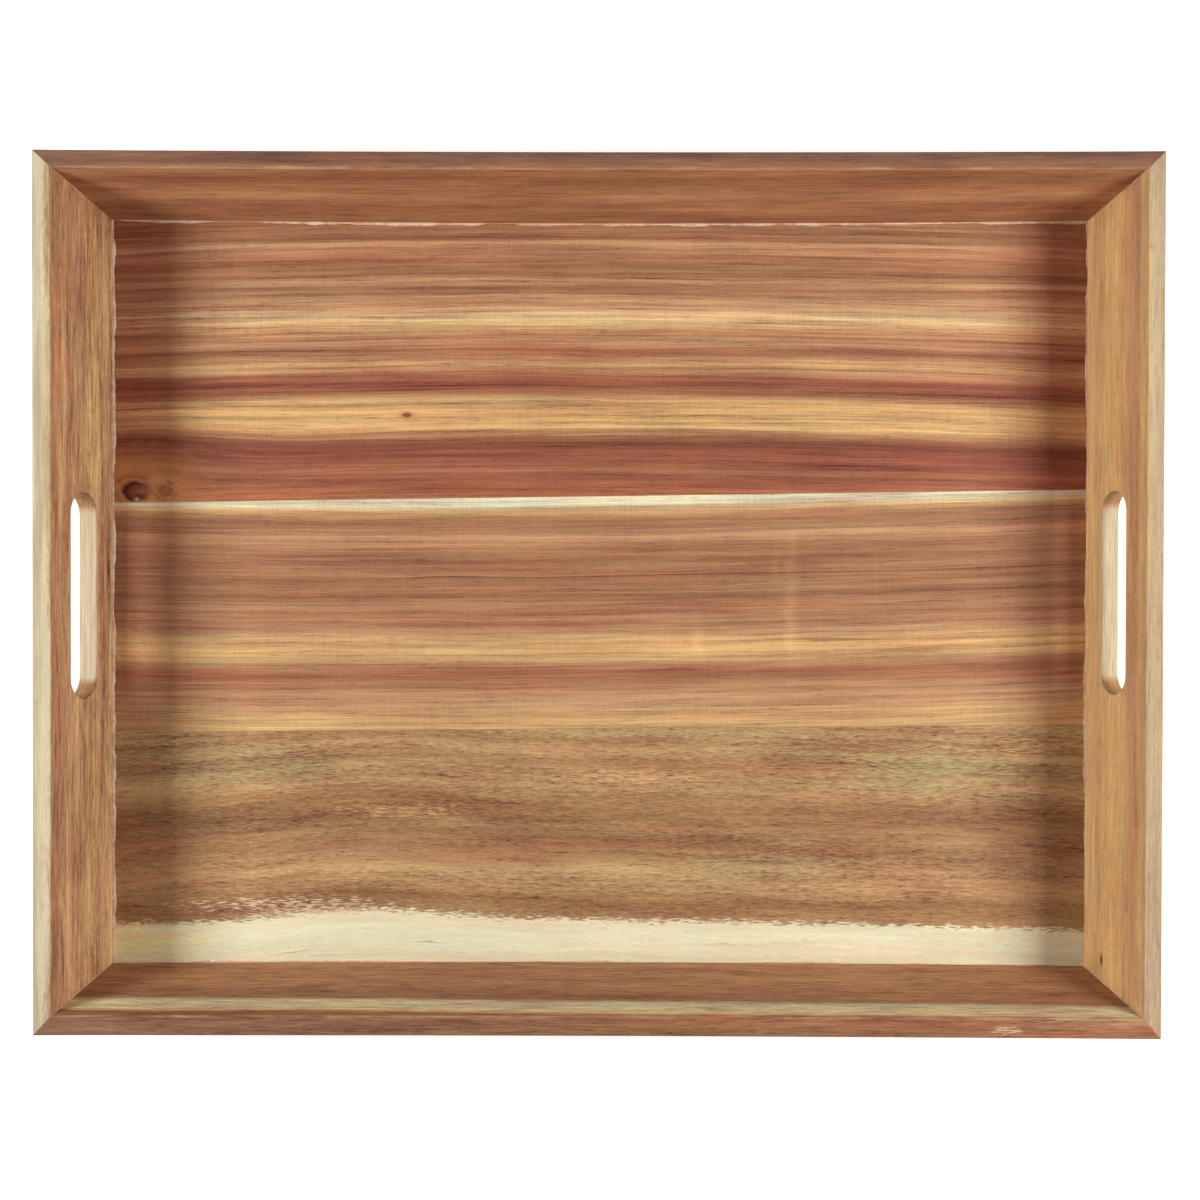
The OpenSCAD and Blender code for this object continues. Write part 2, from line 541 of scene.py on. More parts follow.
@dataclass(frozen=True)
class Acacia:
    """Figured acacia for one board or rail.

    bands holds (millimetres across the face, tint) from one edge to the other. drift holds how far the bands
    have moved across the face at its far end, as the linear, square and cube parts.
    """

    name: str
    place: LocalFrame
    bands: tuple[tuple[float, Tint], ...]
    seed: float
    half_length: float = 240.0
    drift: tuple[float, float, float] = (0.0, 0.0, 0.0)
    swells: tuple[Swell, ...] = ()
    through: float = 0.35
    wander: float = 2.2
    wobble: float = 1.0
    figure: Figure = Figure()
    curl: float = 0.0
    feather: float = 0.0
    streak_grain: tuple[float, float, float] = (190.0, 2.6, 3.5)
    fine_grain: tuple[float, float, float] = (34.0, 0.45, 0.6)
    sapwood: Sapwood | None = None
    redness: float = 0.5
    knots: tuple[Knot, ...] = ()
    flashes: tuple[Flash, ...] = ()
    stains: tuple[Stain, ...] = ()
    hairlines: tuple[Hairline, ...] = ()
    arrises: tuple[tuple[float, float], ...] = ()
    slot: SlotMouth | None = None
    roughness: float = 0.52
    gain: float = 1.0
    painted_end_shade: float = 0.0

    def material(self) -> bpy.types.Material:
        """Builds the wood.

        Returns:
            The material.
        """
        made = bpy.data.materials.new(self.name)
        made.use_nodes = True
        sheet = Sheet(made.node_tree)
        spot = self._spot(sheet)
        curled = sheet.add(spot.across, sheet.spread(self._noise(sheet, spot.place, CURL), self.curl))
        ripple = self._noise(sheet, sheet.joined(spot.along, curled, spot.depth), RIPPLE)
        line = self._grain_line(sheet, spot, ripple)
        grain = sheet.joined(spot.along, line, spot.depth)
        streak = self._noise(sheet, grain, Grain(self.streak_grain, 5, 5.0, 0.78))
        fine = self._noise(sheet, grain, Grain(self.fine_grain, 7, 3.0, 0.7))
        pores = self._pores(sheet, grain)
        pale = self._pale(sheet, line, ripple)

        colour = self._banded(sheet, line)
        if pale is not None:
            mottle = sheet.step(self._noise(sheet, grain, SAP_MOTTLE), 0.36, 0.62)
            sap = sheet.mix(mottle, self.sapwood.dark.rgba(), self.sapwood.light.rgba())
            colour = sheet.mix(pale, colour, sap)
        colour = self._stained(sheet, colour, spot, ripple)
        shade = sheet.add(
            sheet.spread(streak, self.figure.streak),
            sheet.spread(fine, self.figure.fine),
            sheet.spread(self._noise(sheet, grain, PATCHES), self.figure.patch),
            sheet.spread(ripple, self.figure.ripple),
            sheet.spread(self._noise(sheet, spot.place, CHATTER), self.figure.chatter),
            sheet.times(pores, -self.figure.pores),
        )
        if pale is not None:
            shade = sheet.times(shade, sheet.math("SUBTRACT", 1.0, sheet.times(pale, SAP_CALM)))
        shade = sheet.add(shade, *self._marks(sheet, spot, line))
        colour = self._toned(sheet, colour, shade, self._noise(sheet, grain, RED_TONE))
        # Painted shade: the board's ends are darkened and reddened in the colour itself, where the end rails'
        # shadow falls.
        if self.painted_end_shade:
            end = sheet.step(sheet.math("ABSOLUTE", spot.along), END_SHADE_START, END_SHADE_FULL)
            kept = tuple(1 - self.painted_end_shade * share for share in (0.4, 1.0, 0.9))
            colour = sheet.mix(end, colour, sheet.vector("MULTIPLY", colour, kept))
        colour = self._knotted(sheet, colour, spot)
        colour = self._slotted(sheet, colour, spot)
        rough = sheet.add(self.roughness, sheet.spread(streak, 0.12), sheet.times(pores, 0.22))
        wear = self._wear(sheet, spot)
        if wear is not None:
            colour = sheet.mix(wear, colour, sheet.mix(0.5, colour, Tint.STRAW.rgba()))
            rough = sheet.add(rough, sheet.times(wear, 0.12))
        height = sheet.add(
            sheet.times(pores, PORE_HEIGHT),
            sheet.times(streak, STREAK_HEIGHT),
            sheet.times(fine, FINE_HEIGHT),
            sheet.times(ripple, RIPPLE_HEIGHT * self.figure.ripple),
        )
        shader = sheet.surface(colour, rough, height, bump=0.8)
        shader.inputs["Specular IOR Level"].default_value = SHEEN
        return made

    def _noise(self, sheet: Sheet, place: bpy.types.NodeSocket, grain: Grain) -> bpy.types.NodeSocket:
        """One of the wood's noises, moved by the wood's own seed."""
        return sheet.noise(place, grain.size, self.seed + grain.seed, grain.octaves, grain.roughness)

    def _spot(self, sheet: Sheet) -> Spot:
        """Where a point is, in millimetres on this board's own axes.

        Args:
            sheet: The sheet to write on.

        Returns:
            The place and its parts.
        """
        coordinates = sheet.node("ShaderNodeTexCoord")
        mapping = sheet.node("ShaderNodeMapping", vector_type="TEXTURE")
        sheet.feed(mapping.inputs["Vector"], coordinates.outputs["Object"])
        mapping.inputs["Location"].default_value = self.place.origin
        mapping.inputs["Rotation"].default_value = self.place.turn
        mapping.inputs["Scale"].default_value = (MM, MM, MM)
        split = sheet.node("ShaderNodeSeparateXYZ")
        sheet.feed(split.inputs[0], mapping.outputs[0])
        return Spot(mapping.outputs[0], *split.outputs)

    def _grain_line(self, sheet: Sheet, spot: Spot, ripple: bpy.types.NodeSocket) -> bpy.types.NodeSocket:
        """The place across the grain, with the bands' drift, wander, figure and bends round knots taken out.

        Args:
            sheet: The sheet to write on.
            spot: Where the point is.
            ripple: The ripple figure's factor.

        Returns:
            The corrected place across the grain.
        """
        end = sheet.times(spot.along, 1 / self.half_length)
        line, power = spot.across, end
        for part in self.drift:
            if part:
                line = sheet.add(line, sheet.times(power, -part))
            power = sheet.times(power, end)
        for swell in self.swells:
            line = sheet.add(line, sheet.times(sheet.bell(spot.along, swell.along, swell.width), -swell.rise))
        line = sheet.add(
            line,
            sheet.times(spot.depth, self.through),
            sheet.spread(self._noise(sheet, spot.place, WANDER), self.wander),
            sheet.spread(self._noise(sheet, spot.place, WOBBLE), self.wobble),
        )
        if self.feather:
            line = sheet.add(line, sheet.spread(ripple, self.feather))
        for knot in self.knots:
            away = sheet.math("SUBTRACT", spot.across, knot.across)
            near = self._round_knot(sheet, knot, spot, knot.halo)
            fade = sheet.math("EXPONENT", sheet.times(sheet.times(near, near), -1.0))
            line = sheet.add(line, sheet.times(sheet.times(away, fade), -knot.push))
        return line

    def _round_knot(self, sheet: Sheet, knot: Knot, spot: Spot, size: float) -> bpy.types.NodeSocket:
        """The distance from a knot's middle.

        Args:
            sheet: The sheet to write on.
            knot: The knot.
            spot: Where the point is.
            size: The distance along the grain, in millimetres, that counts as 1.

        Returns:
            The distance.
        """
        x = sheet.times(sheet.math("SUBTRACT", spot.along, knot.along), 1 / size)
        squash = knot.eye / knot.eye_across
        y = sheet.times(sheet.math("SUBTRACT", spot.across, knot.across), squash / size)
        return sheet.vector("LENGTH", sheet.joined(x, y, 0.0))

    def _banded(self, sheet: Sheet, line: bpy.types.NodeSocket) -> bpy.types.NodeSocket:
        """The band colour at a place across the grain.

        Args:
            sheet: The sheet to write on.
            line: The place across the grain.

        Returns:
            The colour.
        """
        low = min(at for at, _ in self.bands) - 1
        high = max(at for at, _ in self.bands) + 1
        stops = sorted(((at - low) / (high - low), tint) for at, tint in self.bands)
        factor = sheet.times(sheet.math("SUBTRACT", line, low), 1 / (high - low))
        return sheet.ramp(factor, stops)

    def _pale(self, sheet: Sheet, line: object, ripple: object) -> bpy.types.NodeSocket | None:
        """How much a place is sapwood.

        Args:
            sheet: The sheet to write on.
            line: The place across the grain.
            ripple: The ripple figure's factor.

        Returns:
            The share of sapwood, or None where the piece has none.
        """
        if self.sapwood is None:
            return None
        ragged = sheet.add(line, sheet.spread(ripple, self.sapwood.ragged))
        return sheet.step(ragged, self.sapwood.start, self.sapwood.full)

    def _stained(self, sheet: Sheet, colour: object, spot: Spot, ripple: object) -> bpy.types.NodeSocket:
        """The wood with its stains laid over it, broken up by the ripple figure.

        Args:
            sheet: The sheet to write on.
            colour: The wood's colour so far.
            spot: Where the point is.
            ripple: The ripple figure's factor.

        Returns:
            The colour.
        """
        for stain in self.stains:
            patch = sheet.times(
                sheet.bell(spot.along, stain.along, stain.half_along),
                sheet.bell(spot.across, stain.across, stain.half_across),
            )
            if stain.deep is not None:
                patch = sheet.times(patch, sheet.bell(spot.depth, -stain.deep, stain.half_across))
            ragged = sheet.add(sheet.times(patch, stain.broken), sheet.spread(ripple, 2.2))
            ragged = sheet.step(ragged, 0.5 - stain.broken * 0.3, 0.5 + stain.broken * 0.3)
            ragged = sheet.times(ragged, sheet.step(patch, 0.06, 0.35))
            colour = sheet.mix(sheet.times(ragged, stain.strength), colour, stain.tint.rgba())
        return colour

    def _toned(self, sheet: Sheet, colour: object, shade: object, red: object) -> bpy.types.NodeSocket:
        """The wood shaded by its figure and moved between its redder and yellower tones.

        Args:
            sheet: The sheet to write on.
            colour: The wood's colour so far.
            shade: The brightness that the figure adds.
            red: The noise that says how red a place is.

        Returns:
            The colour.
        """
        tilt = sheet.vector("MULTIPLY", sheet.joined(shade, shade, shade), SHADE_TILT)
        gain = sheet.vector("ADD", tilt, (self.gain, self.gain, self.gain))
        colour = sheet.vector("MULTIPLY", colour, sheet.vector("MAXIMUM", gain, DARKEST))
        hue = sheet.step(sheet.add(red, self.redness - 0.5), 0.34, 0.66)
        yellower, redder = (sheet.vector("MULTIPLY", colour, tone) for tone in (YELLOWER, REDDER))
        return sheet.mix(hue, yellower, redder)

    def _pores(self, sheet: Sheet, grain: bpy.types.NodeSocket) -> bpy.types.NodeSocket:
        """Short dark vessels, denser in some places than in others.

        Args:
            sheet: The sheet to write on.
            grain: The place along the grain.

        Returns:
            1 in a vessel and 0 elsewhere.
        """
        crowd = self._noise(sheet, grain, VESSEL_CROWDS)
        edge = sheet.math("SUBTRACT", 0.74, sheet.times(crowd, 0.22))
        return sheet.step(self._noise(sheet, grain, VESSELS), edge, sheet.math("ADD", edge, 0.12))

    def _marks(self, sheet: Sheet, spot: Spot, line: object) -> list[bpy.types.NodeSocket]:
        """The brightness that flashes add and hairlines take away.

        Args:
            sheet: The sheet to write on.
            spot: Where the point is.
            line: The place across the grain.

        Returns:
            One value for each mark.
        """
        marks = []
        for flash in self.flashes:
            sway = self._noise(sheet, sheet.joined(0.0, spot.across, 0.0), FLASH_SWAY)
            x = sheet.add(spot.along, sheet.spread(sway, flash.half_along * 1.2))
            patch = sheet.times(
                sheet.bell(x, flash.along, flash.half_along),
                sheet.bell(spot.across, flash.across, flash.half_across),
            )
            marks.append(sheet.times(patch, flash.strength))
        for hair in self.hairlines:
            dark = sheet.bell(line, hair.across, HAIR_WIDTH)
            light = sheet.bell(line, hair.across + HAIR_GAP, HAIR_WIDTH)
            reach = sheet.bell(spot.along, hair.middle, hair.reach)
            both = sheet.math("SUBTRACT", sheet.times(light, 0.5), dark)
            marks.append(sheet.times(sheet.times(both, reach), hair.strength))
        return marks

    def _knotted(self, sheet: Sheet, colour: object, spot: Spot) -> bpy.types.NodeSocket:
        """The wood with its knots' halos, rings and eyes laid over it.

        Args:
            sheet: The sheet to write on.
            colour: The wood's colour so far.
            spot: Where the point is.

        Returns:
            The colour.
        """
        if not self.knots:
            return colour
        rough = self._noise(sheet, spot.place, KNOT_EDGE)
        for knot in self.knots:
            halo = sheet.add(self._round_knot(sheet, knot, spot, knot.halo), sheet.spread(rough, 0.25))
            colour = sheet.mix(sheet.times(sheet.step(halo, 1.05, 0.25), 0.8), colour, Tint.HALO.rgba())
            away = sheet.add(self._round_knot(sheet, knot, spot, knot.eye), sheet.spread(rough, 0.5))
            rim = sheet.times(sheet.bell(away, 1.5, 0.3), sheet.times(sheet.step(rough, 0.42, 0.6), 0.45))
            colour = sheet.mix(rim, colour, Tint.UMBER.rgba())
            core = sheet.step(sheet.add(away, sheet.spread(rough, 0.7)), 0.2, 0.8)
            eye = sheet.mix(core, Tint.PLUM.rgba(), Tint.EYE.rgba())
            soft = 0.17 / knot.dark
            colour = sheet.mix(sheet.times(sheet.step(away, 1 + soft, 1 - soft), knot.dark), colour, eye)
            if knot.glint:
                glint = sheet.times(
                    sheet.bell(spot.along, knot.along, knot.eye * 0.16),
                    sheet.bell(spot.across, knot.across - knot.eye_across * 0.75, knot.eye_across * 0.2),
                )
                colour = sheet.mix(sheet.times(glint, 0.7), colour, Tint.ROSE.rgba())
        return colour

    def _slotted(self, sheet: Sheet, colour: object, spot: Spot) -> bpy.types.NodeSocket:
        """The wood with the hand slot's cut walls left paler, and the slot's round ends darkened as painted
        shade where they face sideways.

        Args:
            sheet: The sheet to write on.
            colour: The wood's colour so far.
            spot: Where the point is.

        Returns:
            The colour.
        """
        if self.slot is None:
            return colour
        x = sheet.math("ABSOLUTE", sheet.math("SUBTRACT", spot.along, self.slot.along))
        past = sheet.math("MAXIMUM", sheet.math("SUBTRACT", x, self.slot.straight), 0.0)
        y = sheet.math("SUBTRACT", spot.across, self.slot.across)
        reach = sheet.vector("LENGTH", sheet.joined(past, y, 0.0))
        wall = sheet.step(sheet.math("SUBTRACT", reach, self.slot.radius), WALL_START, WALL_FULL)
        straight = sheet.step(past, 5.0, 0.5)
        sawn = sheet.step(self._noise(sheet, spot.place, SAW_MARKS), 0.34, 0.62)
        pale = sheet.mix(sawn, Tint.KHAKI.rgba(), Tint.SAWN.rgba())
        colour = sheet.mix(sheet.times(wall, sheet.times(straight, 0.85)), colour, pale)
        # Painted shade: the slot's round ends, which face sideways, are darkened with umber in the colour
        # itself.
        painted_slot_end_shade = sheet.times(wall, sheet.math("SUBTRACT", 0.6, sheet.times(straight, 0.6)))
        return sheet.mix(painted_slot_end_shade, colour, Tint.UMBER.rgba())

    def _wear(self, sheet: Sheet, spot: Spot) -> bpy.types.NodeSocket | None:
        """How much an arris has been rubbed.

        Args:
            sheet: The sheet to write on.
            spot: Where the point is.

        Returns:
            The share that is rubbed, or None where the piece has no free arris.
        """
        if not self.arrises:
            return None
        here = sheet.joined(0.0, spot.across, spot.depth)
        rubbed = 0.0
        for across, depth in self.arrises:
            away = sheet.vector("DISTANCE", here, (0.0, across, depth))
            rubbed = sheet.math("MAXIMUM", rubbed, sheet.step(away, RUB_START, RUB_FULL))
        return sheet.times(rubbed, sheet.step(self._noise(sheet, spot.place, RUBBING), 0.42, 0.75))


@dataclass(frozen=True)
class Patchy:
    """A plain stuff with mottled colour, roughness and a fine tooth, such as filler, glue or bare wood."""

    name: str
    light: tuple[float, float, float]
    dark: tuple[float, float, float]
    grain: tuple[float, float, float] = (1.2, 1.2, 1.2)
    roughness: float = 0.7
    metal: float = 0.0
    tooth: float = 0.03

    def material(self) -> bpy.types.Material:
        """Builds the material.

        Returns:
            The material.
        """
        made = bpy.data.materials.new(self.name)
        made.use_nodes = True
        sheet = Sheet(made.node_tree)
        coordinates = sheet.node("ShaderNodeTexCoord")
        place = sheet.vector("SCALE", coordinates.outputs["Object"], 1 / MM)
        mottle = sheet.noise(place, self.grain, 1.0, 4.0, 0.6)
        tooth = sheet.noise(place, tuple(g / 4 for g in self.grain), 2.0, 2.0, 0.6)
        colour = sheet.mix(sheet.step(mottle, 0.35, 0.65), (*self.dark, 1.0), (*self.light, 1.0))
        rough = sheet.add(self.roughness, sheet.spread(tooth, 0.08))
        shader = sheet.surface(colour, rough, sheet.times(tooth, self.tooth), bump=0.6)
        shader.inputs["Metallic"].default_value = self.metal
        return made


# ---------------------------------------------------------------- meshes


def new_object(name: str, mesh: bpy.types.Mesh, *materials: bpy.types.Material) -> bpy.types.Object:
    """Links a mesh into the scene as an object at the origin.

    Args:
        name: The piece's name.
        mesh: Its mesh.
        *materials: Its materials.

    Returns:
        The object.
    """
    made = bpy.data.objects.new(name, mesh)
    for material in materials:
        mesh.materials.append(material)
    bpy.context.scene.collection.objects.link(made)
    return made


def loft(name: str, rings: Sequence[Sequence[Vector]], sharp: float = SHARP) -> bpy.types.Mesh:
    """A closed solid through rings of points, with flat ends.

    Args:
        name: The mesh's name.
        rings: Rings of equally many points, each in order round the section.
        sharp: The angle in degrees past which an edge is kept sharp.

    Returns:
        The mesh, with its faces outwards.
    """
    bm = bmesh.new()
    rows = [[bm.verts.new(p) for p in ring] for ring in rings]
    count = len(rows[0])
    for near, far in zip(rows, rows[1:]):
        for i in range(count):
            j = (i + 1) % count
            bm.faces.new((near[i], near[j], far[j], far[i]))
    caps = [bm.faces.new(rows[0]), bm.faces.new(list(reversed(rows[-1])))]
    bmesh.ops.triangulate(bm, faces=caps, ngon_method="EAR_CLIP")
    bmesh.ops.recalc_face_normals(bm, faces=bm.faces)
    mesh = bpy.data.meshes.new(name)
    bm.to_mesh(mesh)
    bm.free()
    mesh.shade_smooth()
    mesh.set_sharp_from_angle(angle=math.radians(sharp))
    return mesh


def settle(obj: bpy.types.Object) -> None:
    """Applies an object's modifiers to its mesh.

    Args:
        obj: The object.
    """
    graph = bpy.context.evaluated_depsgraph_get()
    mesh = bpy.data.meshes.new_from_object(obj.evaluated_get(graph), depsgraph=graph)
    obj.modifiers.clear()
    old = obj.data
    obj.data = mesh
    bpy.data.meshes.remove(old)


def cut(obj: bpy.types.Object, cutter: bpy.types.Object) -> None:
    """Takes a closed cutter out of a solid and removes the cutter.

    Args:
        obj: The solid.
        cutter: The cutter.
    """
    boolean = obj.modifiers.new("cut", "BOOLEAN")
    boolean.operation = "DIFFERENCE"
    boolean.solver = "EXACT"
    boolean.object = cutter
    settle(obj)
    bpy.data.objects.remove(cutter)


def grow(obj: bpy.types.Object, tree: bpy.types.NodeTree, **numbers: float) -> None:
    """Turns an object's mesh into what geometry nodes make of it.

    Args:
        obj: The object.
        tree: The geometry nodes.
        **numbers: The tree's numbers, by name.
    """
    modifier = obj.modifiers.new(tree.name, "NODES")
    modifier.node_group = tree
    sockets = {i.name: i.identifier for i in tree.interface.items_tree if i.in_out == "INPUT"}
    for name, value in numbers.items():
        modifier[sockets[name]] = value
    settle(obj)
    obj.data.shade_smooth()


def flat_shaded_by_area(obj: bpy.types.Object) -> None:
    """Bends the normals towards the larger faces, so that flats look flat between eased edges.

    Args:
        obj: The object.
    """
    weighted = obj.modifiers.new("flats", "WEIGHTED_NORMAL")
    weighted.keep_sharp = True
    weighted.weight = FLAT_WEIGHT


@dataclass(frozen=True)
class TraySizes:
    """The tray's own sizes in metres. The outline is read from the frame."""

    half_length: float
    half_width: float
    height: float
    floor_top: float
    floor_under: float
    panel_x: float
    panel_y: float
    stock: float = 0.009
    cant: float = math.radians(14)
    groove_gap: float = 0.0003
    groove_slack: float = 0.0002
    rim_ease: float = 0.0007
    foot_ease: float = 0.0008
    arc_steps: int = 6

    @classmethod
    def from_frame(cls) -> "TraySizes":
        """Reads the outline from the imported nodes.

        Returns:
            The sizes.
        """
        cad_ease = 0.0006
        cant = cls.cant
        corner = cad_ease * (math.cos(cant) + math.sin(cant) - 1)
        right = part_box("rail_right")[1]
        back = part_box("rail_back")[1]
        floor_low, floor_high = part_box("floor_board_back")
        return cls(
            half_length=right.x + corner,
            half_width=back.y + corner,
            height=back.z + corner,
            floor_top=floor_high.z,
            floor_under=floor_low.z,
            panel_x=floor_high.x,
            panel_y=floor_high.y,
        )

    def inner(self, z: float, stock: float | None = None) -> float:
        """How far a rail's inner face is inside the rim's outer edge at a height, as a negative number."""
        return -(stock or self.stock) * math.cos(self.cant) - (self.height - z) * math.tan(self.cant)

    def outer(self, z: float) -> float:
        """The same for the outer face."""
        return -(self.height - self.stock * math.sin(self.cant) - z) * math.tan(self.cant)

    @property
    def slope(self) -> float:
        """The inner face's length from the table to the rim."""
        return self.slope_at(self.height)

    def slope_at(self, z: float) -> float:
        """The inner face's length from the table to a height."""
        return z / math.cos(self.cant)


def eased(before: Vector, corner: Vector, after: Vector, radius: float, steps: int) -> list[Vector]:
    """Points of the arc that rounds a convex corner.

    Args:
        before: The corner before it, going anticlockwise.
        corner: The corner.
        after: The corner after it.
        radius: The arc's radius.
        steps: How many stretches it has.

    Returns:
        The points in order.
    """
    u, v = (before - corner).normalized(), (after - corner).normalized()
    half = math.acos(u.dot(v)) / 2
    centre = corner + (u + v).normalized() * radius / math.sin(half)
    start = corner + u * radius / math.tan(half) - centre
    first, turn = math.atan2(start.y, start.x), math.pi - 2 * half
    angles = (first + turn * i / steps for i in range(steps + 1))
    return [centre + radius * Vector((math.cos(a), math.sin(a))) for a in angles]


@dataclass(frozen=True)
class HandSlot:
    """A hand slot's length and width, and how far it is behind the middle of its rail, in metres."""

    length: float
    width: float
    shift: float

    @property
    def straight(self) -> float:
        """Half of the stretch between its round ends."""
        return (self.length - self.width) / 2


@dataclass
class Rails:
    """The four rails: canted, mitred and grooved, with a hand slot through each end.

    The rails bow inwards at their middles, and rim_bow_loss is the share of the bow that is gone at the rim.
    """

    sizes: TraySizes
    slot_height: float = 0.035
    slot_ease: float = 0.0008
    slots: dict[Side, HandSlot] = field(
        default_factory=lambda: {
            Side.LEFT: HandSlot(0.0955, 0.0200, -0.001),
            Side.RIGHT: HandSlot(0.0940, 0.0185, 0.0015),
        }
    )
    slot_overrun: float = 0.001
    ease_steps: int = 8
    round_steps: int = 32
    stations: int = 48
    stock: dict[Side, float] = field(
        default_factory=lambda: {Side.BACK: 0.0090, Side.LEFT: 0.0097, Side.FRONT: 0.0102, Side.RIGHT: 0.0090}
    )
    bow: dict[Side, float] = field(
        default_factory=lambda: {Side.BACK: 0.0018, Side.LEFT: 0.0, Side.FRONT: 0.0013, Side.RIGHT: 0.0}
    )
    rim_bow_loss: float = 0.55

    def section(self, side: Side) -> list[Vector]:
        """A rail's section as (out, up), anticlockwise.

        Args:
            side: The rail's side.

        Returns:
            The section's points.
        """
        s, stock = self.sizes, self.stock[side]
        foot_in, foot_out = Vector((s.inner(0, stock), 0)), Vector((s.outer(0), 0))
        rim_out = Vector((0, s.height - s.stock * math.sin(s.cant)))
        rim_in = Vector((-stock * math.cos(s.cant), s.height))
        lip = Vector((s.inner(s.floor_under, stock), s.floor_under))
        groove_top = s.floor_top + s.groove_slack
        groove_out = s.panel_y - s.half_width + s.groove_gap
        n = s.arc_steps
        return [
            *eased(lip, foot_in, foot_out, s.foot_ease, n),
            *eased(foot_in, foot_out, rim_out, s.foot_ease, n),
            *eased(foot_out, rim_out, rim_in, s.rim_ease, n),
            *eased(rim_out, rim_in, foot_in, s.rim_ease, n),
            Vector((s.inner(groove_top, stock), groove_top)),
            Vector((groove_out, groove_top)),
            Vector((groove_out, s.floor_under)),
            lip,
        ]

    def build(self, side: Side, material: bpy.types.Material) -> bpy.types.Object:
        """One rail.

        Args:
            side: Its side of the tray.
            material: Its wood.

        Returns:
            The piece.
        """
        s = self.sizes
        half, wall = (s.half_length, s.half_width) if side.long else (s.half_width, s.half_length)
        turn = Matrix.Rotation(side.turn, 4, "Z")
        section = self.section(side)
        order = (Side.LEFT, Side.BACK, Side.RIGHT, Side.FRONT)
        at = order.index(side)
        before, after = self.section(order[at - 1]), self.section(order[(at + 1) % 4])
        rings = []
        for i in range(self.stations + 1):
            t = 2 * i / self.stations - 1
            inwards = self.bow[side] * (1 - t * t)
            ring = []
            for own, met in zip(section, before if t < 0 else after):
                out = wall + own.x - inwards * (1 - self.rim_bow_loss * own.y / s.height)
                up = own.y + (met.y - own.y) / 2 * t ** 4
                ring.append(turn @ Vector((t * (half + met.x), out, up)))
            rings.append(ring)
        name = f"{side.name.lower()}_rail"
        piece = new_object(name, loft(name, rings), material)
        if not side.long:
            cut(piece, self.slot_cutter(side))
            piece.data.shade_smooth()
            piece.data.set_sharp_from_angle(angle=math.radians(SHARP))
        flat_shaded_by_area(piece)
        return piece

    def slot_cutter(self, side: Side) -> bpy.types.Object:
        """A cutter for the side's hand slot, with flared mouths.

        Args:
            side: The side.

        Returns:
            The cutter.
        """
        s, stock, slot = self.sizes, self.stock[side], self.slots[side]
        radius, ease, over = slot.width / 2, self.slot_ease, self.slot_overrun
        profile = [(radius + ease, -stock - over)]
        quarter = [math.pi / 2 * i / self.ease_steps for i in range(self.ease_steps + 1)]
        profile += [(radius + ease * (1 - math.sin(a)), -stock + ease * (1 - math.cos(a))) for a in quarter]
        profile += [(radius + ease * (1 - math.sin(a)), -ease * (1 - math.cos(a))) for a in reversed(quarter)]
        profile.append((radius + ease, over))
        facing = math.pi / 2 - s.cant
        place = (
            Matrix.Rotation(side.turn, 4, "Z")
            @ Matrix.Translation((0, s.half_length + s.inner(self.slot_height, stock), self.slot_height))
            @ Matrix.Rotation(facing, 4, "X")
        )
        shift = slot.shift if side is Side.LEFT else -slot.shift
        rings = []
        for r, depth in profile:
            ring = []
            for end in (1, -1):
                for i in range(self.round_steps + 1):
                    a = math.pi * (i / self.round_steps - 0.5)
                    x = shift + end * (slot.straight + r * math.cos(a))
                    ring.append(place @ Vector((x, end * r * math.sin(a), depth)))
            rings.append(ring)
        return new_object("slot_cutter", loft("slot_cutter", rings))


@dataclass
class FloorBoards:
    """The floor: three boards, edge-glued, with barely broken edges along the seams."""

    sizes: TraySizes
    sharp: float = 20.0
    seam_break: float = 0.00015
    back_seam: tuple[float, float] = (0.0435, 0.051)
    front_seam: tuple[float, float] = (-0.067, -0.062)
    stations: int = 60

    def build(
        self, name: str, near: tuple[float, float], far: tuple[float, float], material: bpy.types.Material
    ) -> bpy.types.Object:
        """One board between two lines across the tray.

        Args:
            name: The piece's name.
            near: The front line's distance behind the middle, at the left and right ends.
            far: The same for the back line.
            material: Its wood.

        Returns:
            The piece.
        """
        s, edge = self.sizes, self.seam_break
        rings = []
        for i in range(self.stations + 1):
            t = i / self.stations
            x = s.panel_x * (2 * t - 1)
            front = near[0] + (near[1] - near[0]) * t
            back = far[0] + (far[1] - far[0]) * t
            section = (
                (front + edge, s.floor_under),
                (back - edge, s.floor_under),
                (back, s.floor_under + edge),
                (back, s.floor_top - edge),
                (back - edge, s.floor_top),
                ((front + back) / 2, s.floor_top),
                (front + edge, s.floor_top),
                (front, s.floor_top - edge),
                (front, s.floor_under + edge),
            )
            rings.append([Vector((x, y, z)) for y, z in section])
        return new_object(name, loft(name, rings, self.sharp), material)


@dataclass(frozen=True)
class GluePath:
    """A line that glue follows, with how much of it is covered (0 to 1) and the bead's half width."""

    points: tuple[Vector, ...]
    cover: float
    width: float


